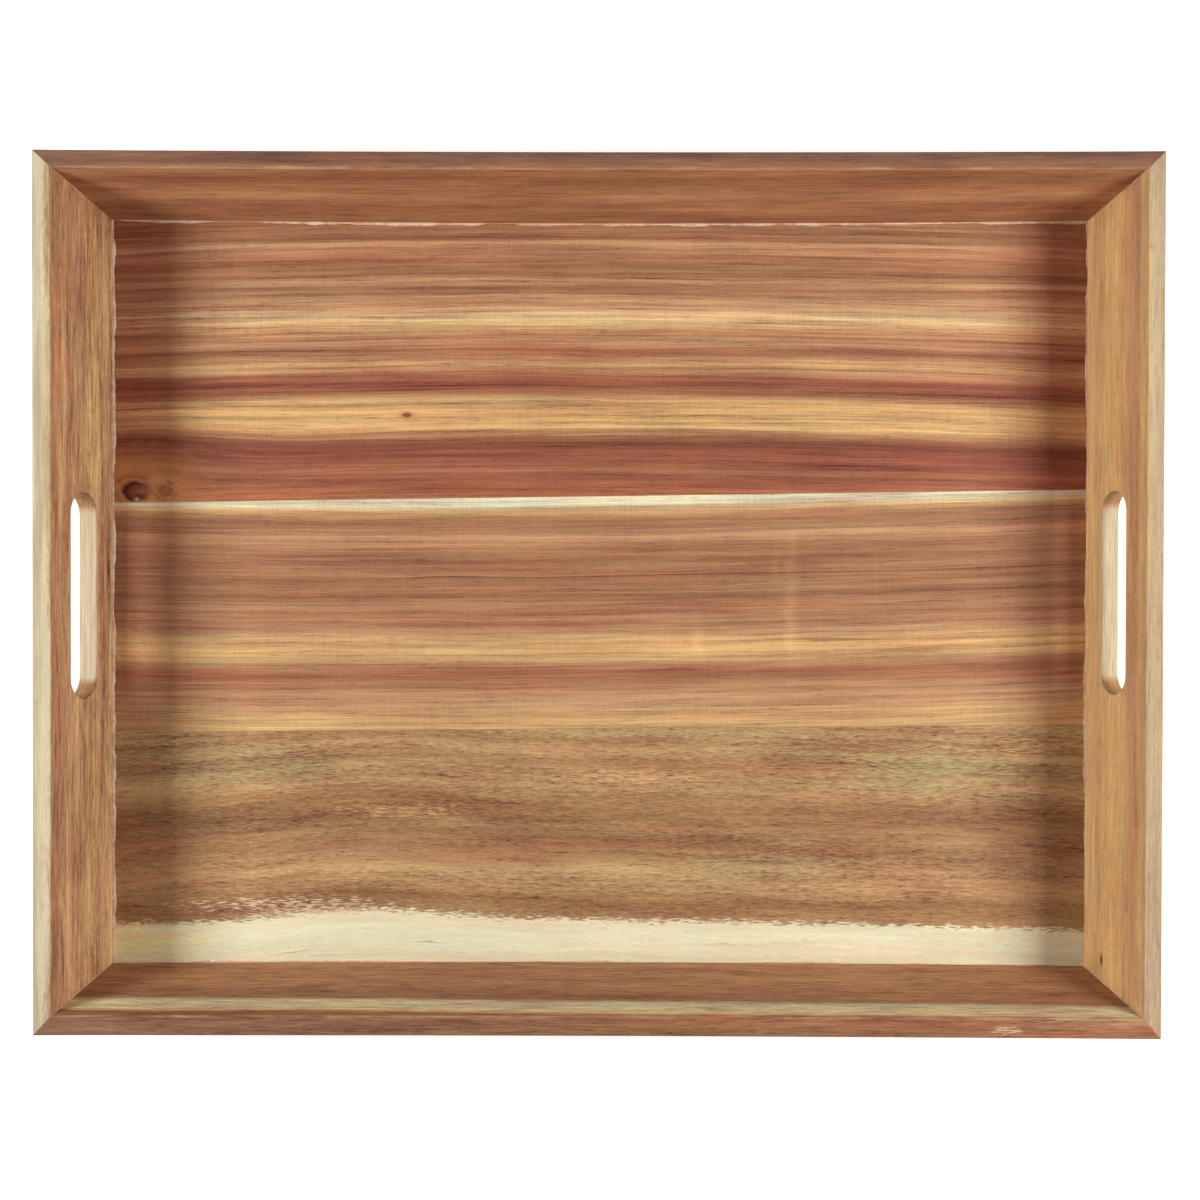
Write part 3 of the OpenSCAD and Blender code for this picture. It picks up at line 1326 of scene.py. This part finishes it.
@dataclass
class GlueLines:
    """Dried glue that was squeezed out of the joints, in patches.

    flatness is how tall a bead on the floor is beside its width, and floor_bow is the share of a rail's bow
    that it has at the floor. patches and rags are how many of each lie in a metre.
    """

    rails: Rails
    spacing: float = 0.0007
    seed: float = 4.0
    flatness: float = 0.22
    floor_bow: float = 0.88
    patches: float = 30.0
    rags: float = 75.0
    round_steps: int = 8

    def tree(self, material: bpy.types.Material) -> bpy.types.NodeTree:
        """Geometry nodes that turn lines into ragged beads.

        Args:
            material: The glue's material.

        Returns:
            The node tree.
        """
        tree = bpy.data.node_groups.new("glue_bead", "GeometryNodeTree")
        sheet = Sheet(tree)
        given = sheet.takes("Spacing", "Seed")
        line = sheet.fed("GeometryNodeMeshToCurve", {"Mesh": given["Geometry"]})
        even = {"Curve": line, "Length": given["Spacing"]}
        line = sheet.fed("GeometryNodeResampleCurve", even, mode="LENGTH")
        cover, width = (
            sheet.fed("GeometryNodeInputNamedAttribute", {"Name": name}, data_type="FLOAT")
            for name in ("cover", "width")
        )
        place = {"Vector": sheet.fed("GeometryNodeInputPosition", {}), "W": given["Seed"]}
        patch, ragged = (
            sheet.fed("ShaderNodeTexNoise", {**place, "Scale": many, "Detail": fine}, noise_dimensions="4D")
            for many, fine in ((self.patches, 2.0), (self.rags, 5.0))
        )
        wanted = sheet.math("ADD", patch, sheet.math("SUBTRACT", cover, 0.5))
        uneven = sheet.add(0.3, sheet.times(sheet.step(ragged, 0.3, 0.75), 0.7))
        size = sheet.times(sheet.step(wanted, 0.45, 0.60), uneven)
        bare = sheet.math("LESS_THAN", size, 0.05)
        line = sheet.fed("GeometryNodeDeleteGeometry", {"Geometry": line, "Selection": bare}, domain="POINT")
        line = sheet.fed("GeometryNodeSetCurveRadius", {"Curve": line, "Radius": sheet.times(size, width)})
        rim = {"Resolution": self.round_steps, "Radius": 1.0}
        circle = sheet.fed("GeometryNodeCurvePrimitiveCircle", rim, mode="RADIUS")
        reach = sheet.fed("GeometryNodeInputRadius", {})
        sweep = {"Curve": line, "Profile Curve": circle, "Scale": reach, "Fill Caps": True}
        sheet.gives(sheet.fed("GeometryNodeCurveToMesh", sweep), material)
        return tree

    def _straight(self, start: Vector, end: Vector, bow: float = 0.0, steps: int = 80) -> tuple[Vector, ...]:
        """Points from start to end, bowed forwards in the middle.

        Args:
            start: The first point.
            end: The last point.
            bow: How far forwards the middle lies.
            steps: How many stretches there are.

        Returns:
            The points.
        """
        points = []
        for i in range(steps + 1):
            t = i / steps
            points.append(start.lerp(end, t) - Vector((0.0, bow * (1 - (2 * t - 1) ** 2), 0.0)))
        return tuple(points)

    def corner(self, end: Side, long_side: Side, z: float) -> Vector:
        """Where the inner faces of two rails meet at a height.

        Args:
            end: The end rail.
            long_side: The long rail.
            z: The height.

        Returns:
            The place.
        """
        s = self.rails.sizes
        x = s.half_length + s.inner(z, self.rails.stock[end])
        y = s.half_width + s.inner(z, self.rails.stock[long_side])
        return Vector((-x if end is Side.LEFT else x, -y if long_side is Side.FRONT else y, z))

    def floor_paths(self) -> list[GluePath]:
        """The four lines where the floor meets the rails.

        Returns:
            The paths.
        """
        z = self.rails.sizes.floor_top
        front_left, back_left, front_right, back_right = (
            self.corner(end, side, z) for end in (Side.LEFT, Side.RIGHT) for side in (Side.FRONT, Side.BACK)
        )
        back_bow = self.rails.bow[Side.BACK] * self.floor_bow
        front_bow = -self.rails.bow[Side.FRONT] * self.floor_bow
        return [
            GluePath(self._straight(front_left, back_left), cover=0.78, width=0.0022),
            GluePath(self._straight(front_right, back_right), cover=0.55, width=0.0012),
            GluePath(self._straight(back_left, back_right, back_bow), cover=0.66, width=0.0017),
            GluePath(self._straight(front_left, front_right, front_bow), cover=0.52, width=0.0009),
        ]

    def mitre_paths(self) -> list[GluePath]:
        """The four lines up the mitres' inner corners.

        Returns:
            The paths.
        """
        s = self.rails.sizes
        paths = []
        for end in (Side.LEFT, Side.RIGHT):
            for side in (Side.FRONT, Side.BACK):
                low, high = (self.corner(end, side, z) for z in (s.floor_top, s.height - s.rim_ease))
                paths.append(GluePath(self._straight(low, high, steps=20), cover=0.62, width=0.00042))
        return paths

    def build(
        self, name: str, paths: Sequence[GluePath], material: bpy.types.Material, pressed: bool
    ) -> bpy.types.Object:
        """The beads along some lines.

        Args:
            name: The piece's name.
            paths: The lines.
            material: The glue's material.
            pressed: Whether the beads lie flat on the floor.

        Returns:
            The piece.
        """
        mesh = bpy.data.meshes.new(f"{name}_paths")
        points, edges, covers, widths = [], [], [], []
        for path in paths:
            first = len(points)
            points += path.points
            covers += [path.cover] * len(path.points)
            widths += [path.width] * len(path.points)
            edges += [(first + i, first + i + 1) for i in range(len(path.points) - 1)]
        mesh.from_pydata(points, edges, [])
        for kept, values in (("cover", covers), ("width", widths)):
            mesh.attributes.new(kept, "FLOAT", "POINT").data.foreach_set("value", values)
        piece = new_object(name, mesh)
        grow(piece, self.tree(material), Spacing=self.spacing, Seed=self.seed)
        if pressed:
            floor = self.rails.sizes.floor_top
            for vertex in piece.data.vertices:
                vertex.co.z = floor + (vertex.co.z - floor) * self.flatness
        return piece


@dataclass
class Fillers:
    """Small dabs of filler over the set brads, on the long rails' outer faces.

    flatness is how far a dab stands out of the face beside its radius.
    """

    sizes: TraySizes
    radius: float = 0.00085
    flatness: float = 0.07
    round_steps: int = 20
    heights: tuple[float, float] = (0.0175, 0.051)

    def build(self, material: bpy.types.Material) -> bpy.types.Object:
        """All eight dabs.

        Args:
            material: The filler's material.

        Returns:
            The piece.
        """
        s = self.sizes
        spots = bpy.data.meshes.new("filler_spots")
        points, facings = [], []
        for sx in (-1, 1):
            for sy in (-1, 1):
                for z in self.heights:
                    middle = (s.inner(z) + s.outer(z)) / 2
                    points.append((sx * (s.half_length + middle), sy * (s.half_width + s.outer(z)), z))
                    facings += (0.0, sy * math.cos(s.cant), -math.sin(s.cant))
        spots.from_pydata(points, [], [])
        spots.attributes.new("facing", "FLOAT_VECTOR", "POINT").data.foreach_set("vector", facings)
        piece = new_object("brad_filler_dabs", spots)
        grow(piece, self.tree(material), Radius=self.radius)
        return piece

    def tree(self, material: bpy.types.Material) -> bpy.types.NodeTree:
        """Geometry nodes that put a domed dab on every spot.

        Args:
            material: The filler's material.

        Returns:
            The node tree.
        """
        tree = bpy.data.node_groups.new("filler_dabs", "GeometryNodeTree")
        sheet = Sheet(tree)
        given = sheet.takes("Radius")
        points = sheet.fed("GeometryNodeMeshToPoints", {"Mesh": given["Geometry"]})
        ball = {"Segments": self.round_steps, "Rings": self.round_steps // 2, "Radius": given["Radius"]}
        dab = sheet.fed("GeometryNodeMeshUVSphere", ball)
        dab = sheet.fed("GeometryNodeTransform", {"Geometry": dab, "Scale": (1.0, 1.0, self.flatness)})
        facing = sheet.fed("GeometryNodeInputNamedAttribute", {"Name": "facing"}, data_type="FLOAT_VECTOR")
        turn = sheet.fed("FunctionNodeAlignRotationToVector", {"Vector": facing}, axis="Z")
        places = {"Points": points, "Instance": dab, "Rotation": turn}
        sheet.gives(sheet.fed("GeometryNodeInstanceOnPoints", places), material)
        return tree


# ---------------------------------------------------------------- the woods


def board_frame(sizes: TraySizes) -> LocalFrame:
    """The floor boards' axes: millimetres right of and behind the tray's middle, on the floor's top."""
    return LocalFrame((0.0, 0.0, sizes.floor_top), (0.0, 0.0, 0.0))


def rail_frame(rails: Rails, side: Side) -> LocalFrame:
    """A rail's axes: along it, up its inner face from the table, and out of that face into the tray.

    Args:
        rails: The rails.
        side: The rail's side.

    Returns:
        The axes.
    """
    sizes = rails.sizes
    wall = sizes.half_width if side.long else sizes.half_length
    foot = Matrix.Rotation(side.turn, 3, "Z") @ Vector((0.0, wall + sizes.inner(0, rails.stock[side]), 0.0))
    return LocalFrame(tuple(foot), (math.pi / 2 - sizes.cant, 0.0, side.turn))


def floor_woods(sizes: TraySizes) -> dict[str, Acacia]:
    """The three boards' finishes, with bands given from the back to the front.

    Args:
        sizes: The tray's sizes.

    Returns:
        The finishes by board.
    """
    place = board_frame(sizes)
    back = Acacia(
        "acacia_back_board", place, seed=1.0, drift=(0.0, -4.5, 0.0), redness=0.5, painted_end_shade=0.34,
        gain=1.05, figure=Figure(streak=1.4, fine=0.5, patch=0.45, ripple=0.15, pores=0.35, chatter=0.14),
        knots=(
            Knot(-222, 49.0, 8.2, 5.0, 44.0, 0.5),
            Knot(-208.5, 49.5, 3.8, 3.0, 14.0, 0.2, dark=0.5),
            Knot(-92, 86, 1.9, 0.9, 6.0, 0.3, dark=0.85),
        ),
        hairlines=(Hairline(141, 185, 60, 0.35), Hairline(152.5, 60, 130, 0.3), Hairline(76, -60, 80, 0.25)),
        bands=(
            (182, Tint.BROWN), (172, Tint.WALNUT), (169, Tint.TAN), (163, Tint.BROWN), (158, Tint.WALNUT),
            (154, Tint.WALNUT), (151, Tint.TAN), (148, Tint.WALNUT), (142, Tint.TAN), (139, Tint.TAN),
            (133, Tint.LIGHT_GOLD), (128, Tint.SAND), (124, Tint.BROWN), (121, Tint.TAN),
            (118, Tint.RED_BROWN), (115, Tint.BROWN), (111, Tint.SAND), (108, Tint.TAN),
            (105, Tint.RED_BROWN), (102, Tint.DARK_RED),
            (97, Tint.RED_BROWN), (93, Tint.SAND), (90, Tint.GOLD), (80, Tint.GOLD), (77, Tint.BROWN),
            (73, Tint.PLUM), (69, Tint.DARK_RED), (64, Tint.DARK_RED), (61, Tint.RED_BROWN),
            (56, Tint.DARK_RED), (50, Tint.RUST), (44, Tint.RUST),
        ),
    )
    middle = Acacia(
        "acacia_middle_board", place, seed=2.0, drift=(3.5, 3.2, 0.0), wander=1.2, redness=0.48, gain=1.09,
        painted_end_shade=0.20, figure=Figure(streak=1.05, fine=0.55, patch=0.4, ripple=0.15, chatter=0.14),
        flashes=(Flash(93, -2, 3.2, 26, 0.30), Flash(86, 12, 2.0, 9, 0.22), Flash(48, -22, 3.0, 8, 0.22)),
        hairlines=(Hairline(9.3, 0, 400, 0.40),),
        bands=(
            (52, Tint.IVORY), (43.5, Tint.CREAM), (40.5, Tint.SAND), (37, Tint.BROWN), (33, Tint.WALNUT),
            (28, Tint.TAN), (23, Tint.BROWN), (16, Tint.WALNUT), (13, Tint.BROWN), (7, Tint.WALNUT),
            (4, Tint.BROWN), (0, Tint.WALNUT), (-6, Tint.BROWN), (-14, Tint.BROWN), (-18, Tint.TAN),
            (-21, Tint.SAND), (-26, Tint.GOLD), (-31, Tint.SAND), (-35, Tint.BROWN), (-38, Tint.RED_BROWN),
            (-44, Tint.BROWN), (-52, Tint.TAN), (-58, Tint.SAND), (-70, Tint.SAND),
        ),
    )
    front = Acacia(
        "acacia_front_board", place, seed=3.0, drift=(0.0, -4.8, 0.0), wander=1.6, redness=0.45, gain=1.06,
        painted_end_shade=0.06, swells=(Swell(-112, 62, 5.0),), curl=1.6, feather=1.2, streak_grain=(70.0, 3.0, 4.0),
        figure=Figure(streak=0.85, fine=0.4, patch=0.6, ripple=0.85, pores=0.5, chatter=0.14),
        sapwood=Sapwood(-155.6, -157.8, 6.0, Tint.IVORY, Tint.CREAM),
        stains=(
            # A real golden patch at the sapwood's left end, with its tint brightened as painted light against
            # the shade there.
            Stain(-224, -168, 34, 8, Tint.HONEY_LIT, 0.9),
            Stain(-148, -150.5, 46, 4.2, Tint.ROSE, 0.8, broken=0.55),
            Stain(165, -84, 34, 11, Tint.MOSS, 0.75), Stain(60, -72, 30, 6, Tint.OLIVE_LIGHT, 0.5),
            Stain(208, -73, 16, 4, Tint.SAND, 0.7), Stain(-165, -82, 38, 9, Tint.MOSS, 0.6),
            Stain(20, -88, 30, 3, Tint.SAND, 0.6), Stain(150, -112, 60, 6, Tint.RED_BROWN, 0.35),
            Stain(-60, -122, 70, 8, Tint.RED_BROWN, 0.55), Stain(-225, -125, 30, 26, Tint.RED_BROWN, 0.35),
            Stain(215, -128, 26, 22, Tint.RED_BROWN, 0.35), Stain(-95, -104, 26, 3, Tint.SAND, 0.5),
            Stain(90, -130, 40, 5, Tint.MOSS, 0.6),
        ),
        hairlines=(
            Hairline(-171, -82, 9, 0.5), Hairline(-174.3, -147, 6, 0.5), Hairline(-176, -186, 2.0, 0.9),
            Hairline(-177, -128, 14, 0.25), Hairline(-168, 60, 16, 0.2), Hairline(-84, -40, 60, 0.3),
            Hairline(-83, 60, 45, 0.45),
        ),
        bands=(
            (-60, Tint.OLIVE_LIGHT), (-67, Tint.OLIVE_LIGHT), (-71, Tint.OLIVE), (-75, Tint.OLIVE_LIGHT),
            (-80, Tint.OLIVE), (-88, Tint.OLIVE_LIGHT), (-93, Tint.OLIVE_LIGHT), (-99, Tint.OLIVE),
            (-105, Tint.OLIVE_DARK), (-113, Tint.OLIVE), (-122, Tint.OLIVE), (-131, Tint.OLIVE_LIGHT),
            (-140, Tint.OLIVE_LIGHT), (-148, Tint.OLIVE_DARK), (-155, Tint.OLIVE), (-165, Tint.OLIVE),
        ),
    )
    return {"back": back, "middle": middle, "front": front}


def rail_woods(rails: Rails) -> dict[Side, Acacia]:
    """The four rails' finishes, with bands given up the inner face from the table.

    Args:
        rails: The rails, for their sizes and slots.

    Returns:
        The finishes by side.
    """
    sizes = rails.sizes
    top = sizes.slope / MM
    common = {
        "through": -0.15,
        "arrises": ((top, 0.0),),
        "wander": 1.6,
        "streak_grain": (110.0, 6.0, 4.0),
        "fine_grain": (16.0, 1.3, 1.0),
    }
    left_slot, right_slot = (
        SlotMouth(
            rails.slots[side].shift / MM * sign,
            sizes.slope_at(rails.slot_height) / MM,
            rails.slots[side].straight / MM,
            rails.slots[side].width / 2 / MM,
        )
        for side, sign in ((Side.LEFT, 1), (Side.RIGHT, -1))
    )
    return {
        Side.BACK: Acacia(
            "acacia_back_rail", rail_frame(rails, Side.BACK), seed=5.0, redness=0.6, **common,
            figure=Figure(streak=0.8, fine=0.6, patch=0.5), gain=1.12,
            bands=(
                (0, Tint.WALNUT), (13, Tint.WALNUT), (22, Tint.BROWN), (30, Tint.BROWN), (38, Tint.TAN),
                (46, Tint.BROWN), (54, Tint.WALNUT), (58, Tint.BROWN), (61.2, Tint.BROWN), (62.5, Tint.DUSK),
                (68, Tint.DUSK),
            ),
        ),
        Side.FRONT: Acacia(
            "acacia_front_rail", rail_frame(rails, Side.FRONT), seed=6.0, redness=0.35, **common,
            drift=(-2.5, 0.0, 0.0), stains=(Stain(-185.5, 61.5, 6.0, 2.2, Tint.ROSE, 0.8, deep=6.2),),
            figure=Figure(streak=0.85, fine=0.9, patch=0.3, ripple=0.25, pores=0.5), gain=1.10,
            bands=(
                (0, Tint.BROWN), (13, Tint.BROWN), (24, Tint.BROWN), (34, Tint.BROWN), (47, Tint.WALNUT),
                (50, Tint.BUFF), (57.5, Tint.STRAW), (59, Tint.TAN), (60.3, Tint.RED_BROWN),
                (62, Tint.WALNUT), (68, Tint.DUSK),
            ),
        ),
        Side.LEFT: Acacia(
            "acacia_left_rail", rail_frame(rails, Side.LEFT), seed=7.0, redness=0.4, **common,
            half_length=200.0, slot=left_slot, gain=1.09,
            figure=Figure(streak=1.5, fine=1.0, patch=0.8, ripple=0.5, pores=0.5),
            sapwood=Sapwood(61.0, 62.2, 0.5, Tint.BUFF, Tint.KHAKI),
            bands=(
                (0, Tint.SAND), (13, Tint.SAND), (22, Tint.TAN), (30, Tint.SAND), (38, Tint.TAN),
                (46, Tint.TAN), (54, Tint.TAN), (60, Tint.BROWN), (61.3, Tint.OLIVE), (68, Tint.OLIVE),
            ),
        ),
        Side.RIGHT: Acacia(
            "acacia_right_rail", rail_frame(rails, Side.RIGHT), seed=8.0, redness=0.4, **common,
            half_length=200.0, slot=right_slot, gain=1.26,
            knots=(Knot(172, 28, 2.2, 0.9, 5.0, 0.2, dark=0.9),),
            figure=Figure(streak=0.7, fine=0.5, patch=0.3, ripple=0.25),
            bands=(
                (0, Tint.GOLD), (13, Tint.GOLD), (24, Tint.SAND), (36, Tint.GOLD), (44, Tint.SAND),
                (50, Tint.TAN), (54, Tint.TAN), (57, Tint.SAND), (61.3, Tint.OLIVE_LIGHT), (62, Tint.LICHEN),
                (66, Tint.OLIVE), (70, Tint.LICHEN),
            ),
        ),
    }


# ---------------------------------------------------------------- studio


@dataclass(frozen=True)
class Strip:
    """A softbox at one end of the tray: its place in metres, how tall it is and its power in watts."""

    name: str
    at: tuple[float, float, float]
    tall: float
    power: float


@dataclass
class Studio:
    """A pale floor, soft light from both ends of the tray and a camera straight above it."""

    camera_at: tuple[float, float, float] = (0.0034, 0.0038, 0.7116)
    camera_tilt: tuple[float, float, float] = (-0.528, 0.191, 0.137)
    lens: float = 43.56
    floor_reach: float = 3.0
    strips: tuple[Strip, ...] = (
        Strip("left_softbox", (-0.829, 0.0, 0.558), 0.257, 8.4),
        Strip("right_softbox", (0.772, 0.0, 0.618), 0.326, 8.9),
    )
    strip_length: float = 1.0
    fill: float = 0.05
    backdrop: float = 0.7
    floor_white: float = 0.94
    floor_glow: float = 0.45

    def build(self) -> None:
        """Makes the floor, the lights, the sky and the camera."""
        self._floor()
        for strip in self.strips:
            self._strip(strip)
        scene = bpy.context.scene
        scene.world = self._surround()
        scene.view_settings.view_transform = "Standard"
        scene.view_settings.look = "None"
        self._camera()

    def _surround(self) -> bpy.types.World:
        """The room past the floor: pale to look at, but adding only a little light.

        Returns:
            The world.
        """
        world = bpy.data.worlds.new("soft_surround")
        world.use_nodes = True
        sheet = Sheet(world.node_tree)
        seen = sheet.node("ShaderNodeLightPath").outputs["Is Camera Ray"]
        glow = sheet.add(self.fill, sheet.times(seen, self.backdrop))
        air = sheet.fed("ShaderNodeBackground", {"Color": (1.0, 1.0, 1.0, 1.0), "Strength": glow})
        sheet.feed(sheet.node("ShaderNodeOutputWorld").inputs["Surface"], air)
        return world

    def _floor(self) -> None:
        """A round pale floor under the tray."""
        bm = bmesh.new()
        bmesh.ops.create_circle(bm, cap_ends=True, segments=96, radius=self.floor_reach)
        mesh = bpy.data.meshes.new("studio_floor")
        bm.to_mesh(mesh)
        bm.free()
        made = bpy.data.materials.new("studio_white")
        made.use_nodes = True
        shader = made.node_tree.nodes["Principled BSDF"]
        for name, value in {
            "Base Color": (self.floor_white, self.floor_white, self.floor_white, 1.0),
            "Roughness": 0.9,
            "Specular IOR Level": 0.1,
            "Emission Color": (1.0, 1.0, 1.0, 1.0),
            "Emission Strength": self.floor_glow,
        }.items():
            shader.inputs[name].default_value = value
        new_object("studio_floor", mesh, made)

    def _strip(self, strip: Strip) -> None:
        """A soft light aimed at the tray, longer from the front to the back.

        Args:
            strip: The light.
        """
        light = bpy.data.lights.new(strip.name, "AREA")
        light.shape = "RECTANGLE"
        light.size = self.strip_length
        light.size_y = strip.tall
        light.energy = strip.power
        made = bpy.data.objects.new(strip.name, light)
        made.location = strip.at
        made.rotation_euler = (-Vector(strip.at)).to_track_quat("-Z", "Y").to_euler()
        made.visible_camera = False
        bpy.context.scene.collection.objects.link(made)

    def _camera(self) -> None:
        """The camera over the tray, a hair off square."""
        data = bpy.data.cameras.new("overhead_camera")
        data.lens = self.lens
        data.sensor_width = 36.0
        data.clip_start = 0.01
        made = bpy.data.objects.new("overhead_camera", data)
        made.location = self.camera_at
        made.rotation_euler = Euler([math.radians(a) for a in self.camera_tilt], "XYZ")
        bpy.context.scene.collection.objects.link(made)
        bpy.context.scene.camera = made


# ---------------------------------------------------------------- assembly


def dress_cad(nodes: Iterable[str], material: bpy.types.Material) -> None:
    """Gives CAD nodes a better material.

    Args:
        nodes: The nodes' names.
        material: The material.
    """
    for name in nodes:
        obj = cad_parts[name]
        for slot in obj.material_slots:
            slot.material = material
        log.info("%s dressed in %s", name, material.name)


def seat(piece: bpy.types.Object, slot: str, *stands_for: str) -> None:
    """Fixes a piece to the tray and says what it stands for.

    Args:
        piece: The piece.
        slot: Not used.
        *stands_for: The CAD nodes that it replaces.
    """
    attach(piece, BODY)
    if stands_for:
        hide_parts(*stands_for)
    log.info("%s: %d faces, stands for %s", piece.name, len(piece.data.polygons), stands_for or "nothing")


def main() -> None:
    """Builds the tray's pieces in order and reports each."""
    logging.basicConfig(level=logging.INFO, format="%(message)s")
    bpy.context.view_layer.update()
    sizes = TraySizes.from_frame()
    Studio().build()

    rails = Rails(sizes)
    woods = rail_woods(rails)
    for side in Side:
        piece = rails.build(side, woods[side].material())
        slot = "acacia_long_rails" if side.long else "acacia_end_rails"
        seat(piece, slot, f"rail_{side.name.lower()}")

    floor = FloorBoards(sizes)
    boards = floor_woods(sizes)
    edge = sizes.panel_y
    seams = {
        "back": (floor.back_seam, (edge, edge)),
        "middle": (floor.front_seam, floor.back_seam),
        "front": ((-edge, -edge), floor.front_seam),
    }
    for name, (near, far) in seams.items():
        piece = floor.build(f"{name}_floor_board", near, far, boards[name].material())
        seat(piece, f"acacia_{name}_board", f"floor_board_{name}")

    glue = Patchy("dried_glue", Tint.GLUE.linear(), Tint.GLUE_TAN.linear(), (5.0, 5.0, 5.0), 0.5).material()
    lines = GlueLines(rails)
    seat(lines.build("floor_glue", lines.floor_paths(), glue, pressed=True), "wood_filler")
    seat(lines.build("mitre_glue", lines.mitre_paths(), glue, pressed=False), "wood_filler")
    filler = Patchy("filler_paste", Tint.WALNUT.linear(), Tint.RED_BROWN.linear(), (0.5, 0.5, 0.5), 0.75)
    seat(Fillers(sizes).build(filler.material()), "wood_filler", "brad_fillers")

    spline = Patchy("spline_wood", Tint.CREAM.linear(), Tint.STRAW.linear(), (8.0, 8.0, 0.6), 0.65)
    splines = [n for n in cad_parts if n.startswith("mitre_spline")]
    dress_cad(sorted(splines), spline.material())
    wire = Patchy("brad_wire", (0.60, 0.60, 0.61), (0.46, 0.46, 0.48), (0.3, 4.0, 0.3), 0.32, metal=1.0)
    dress_cad(["corner_brads"], wire.material())


if __name__ == "__main__":
    main()
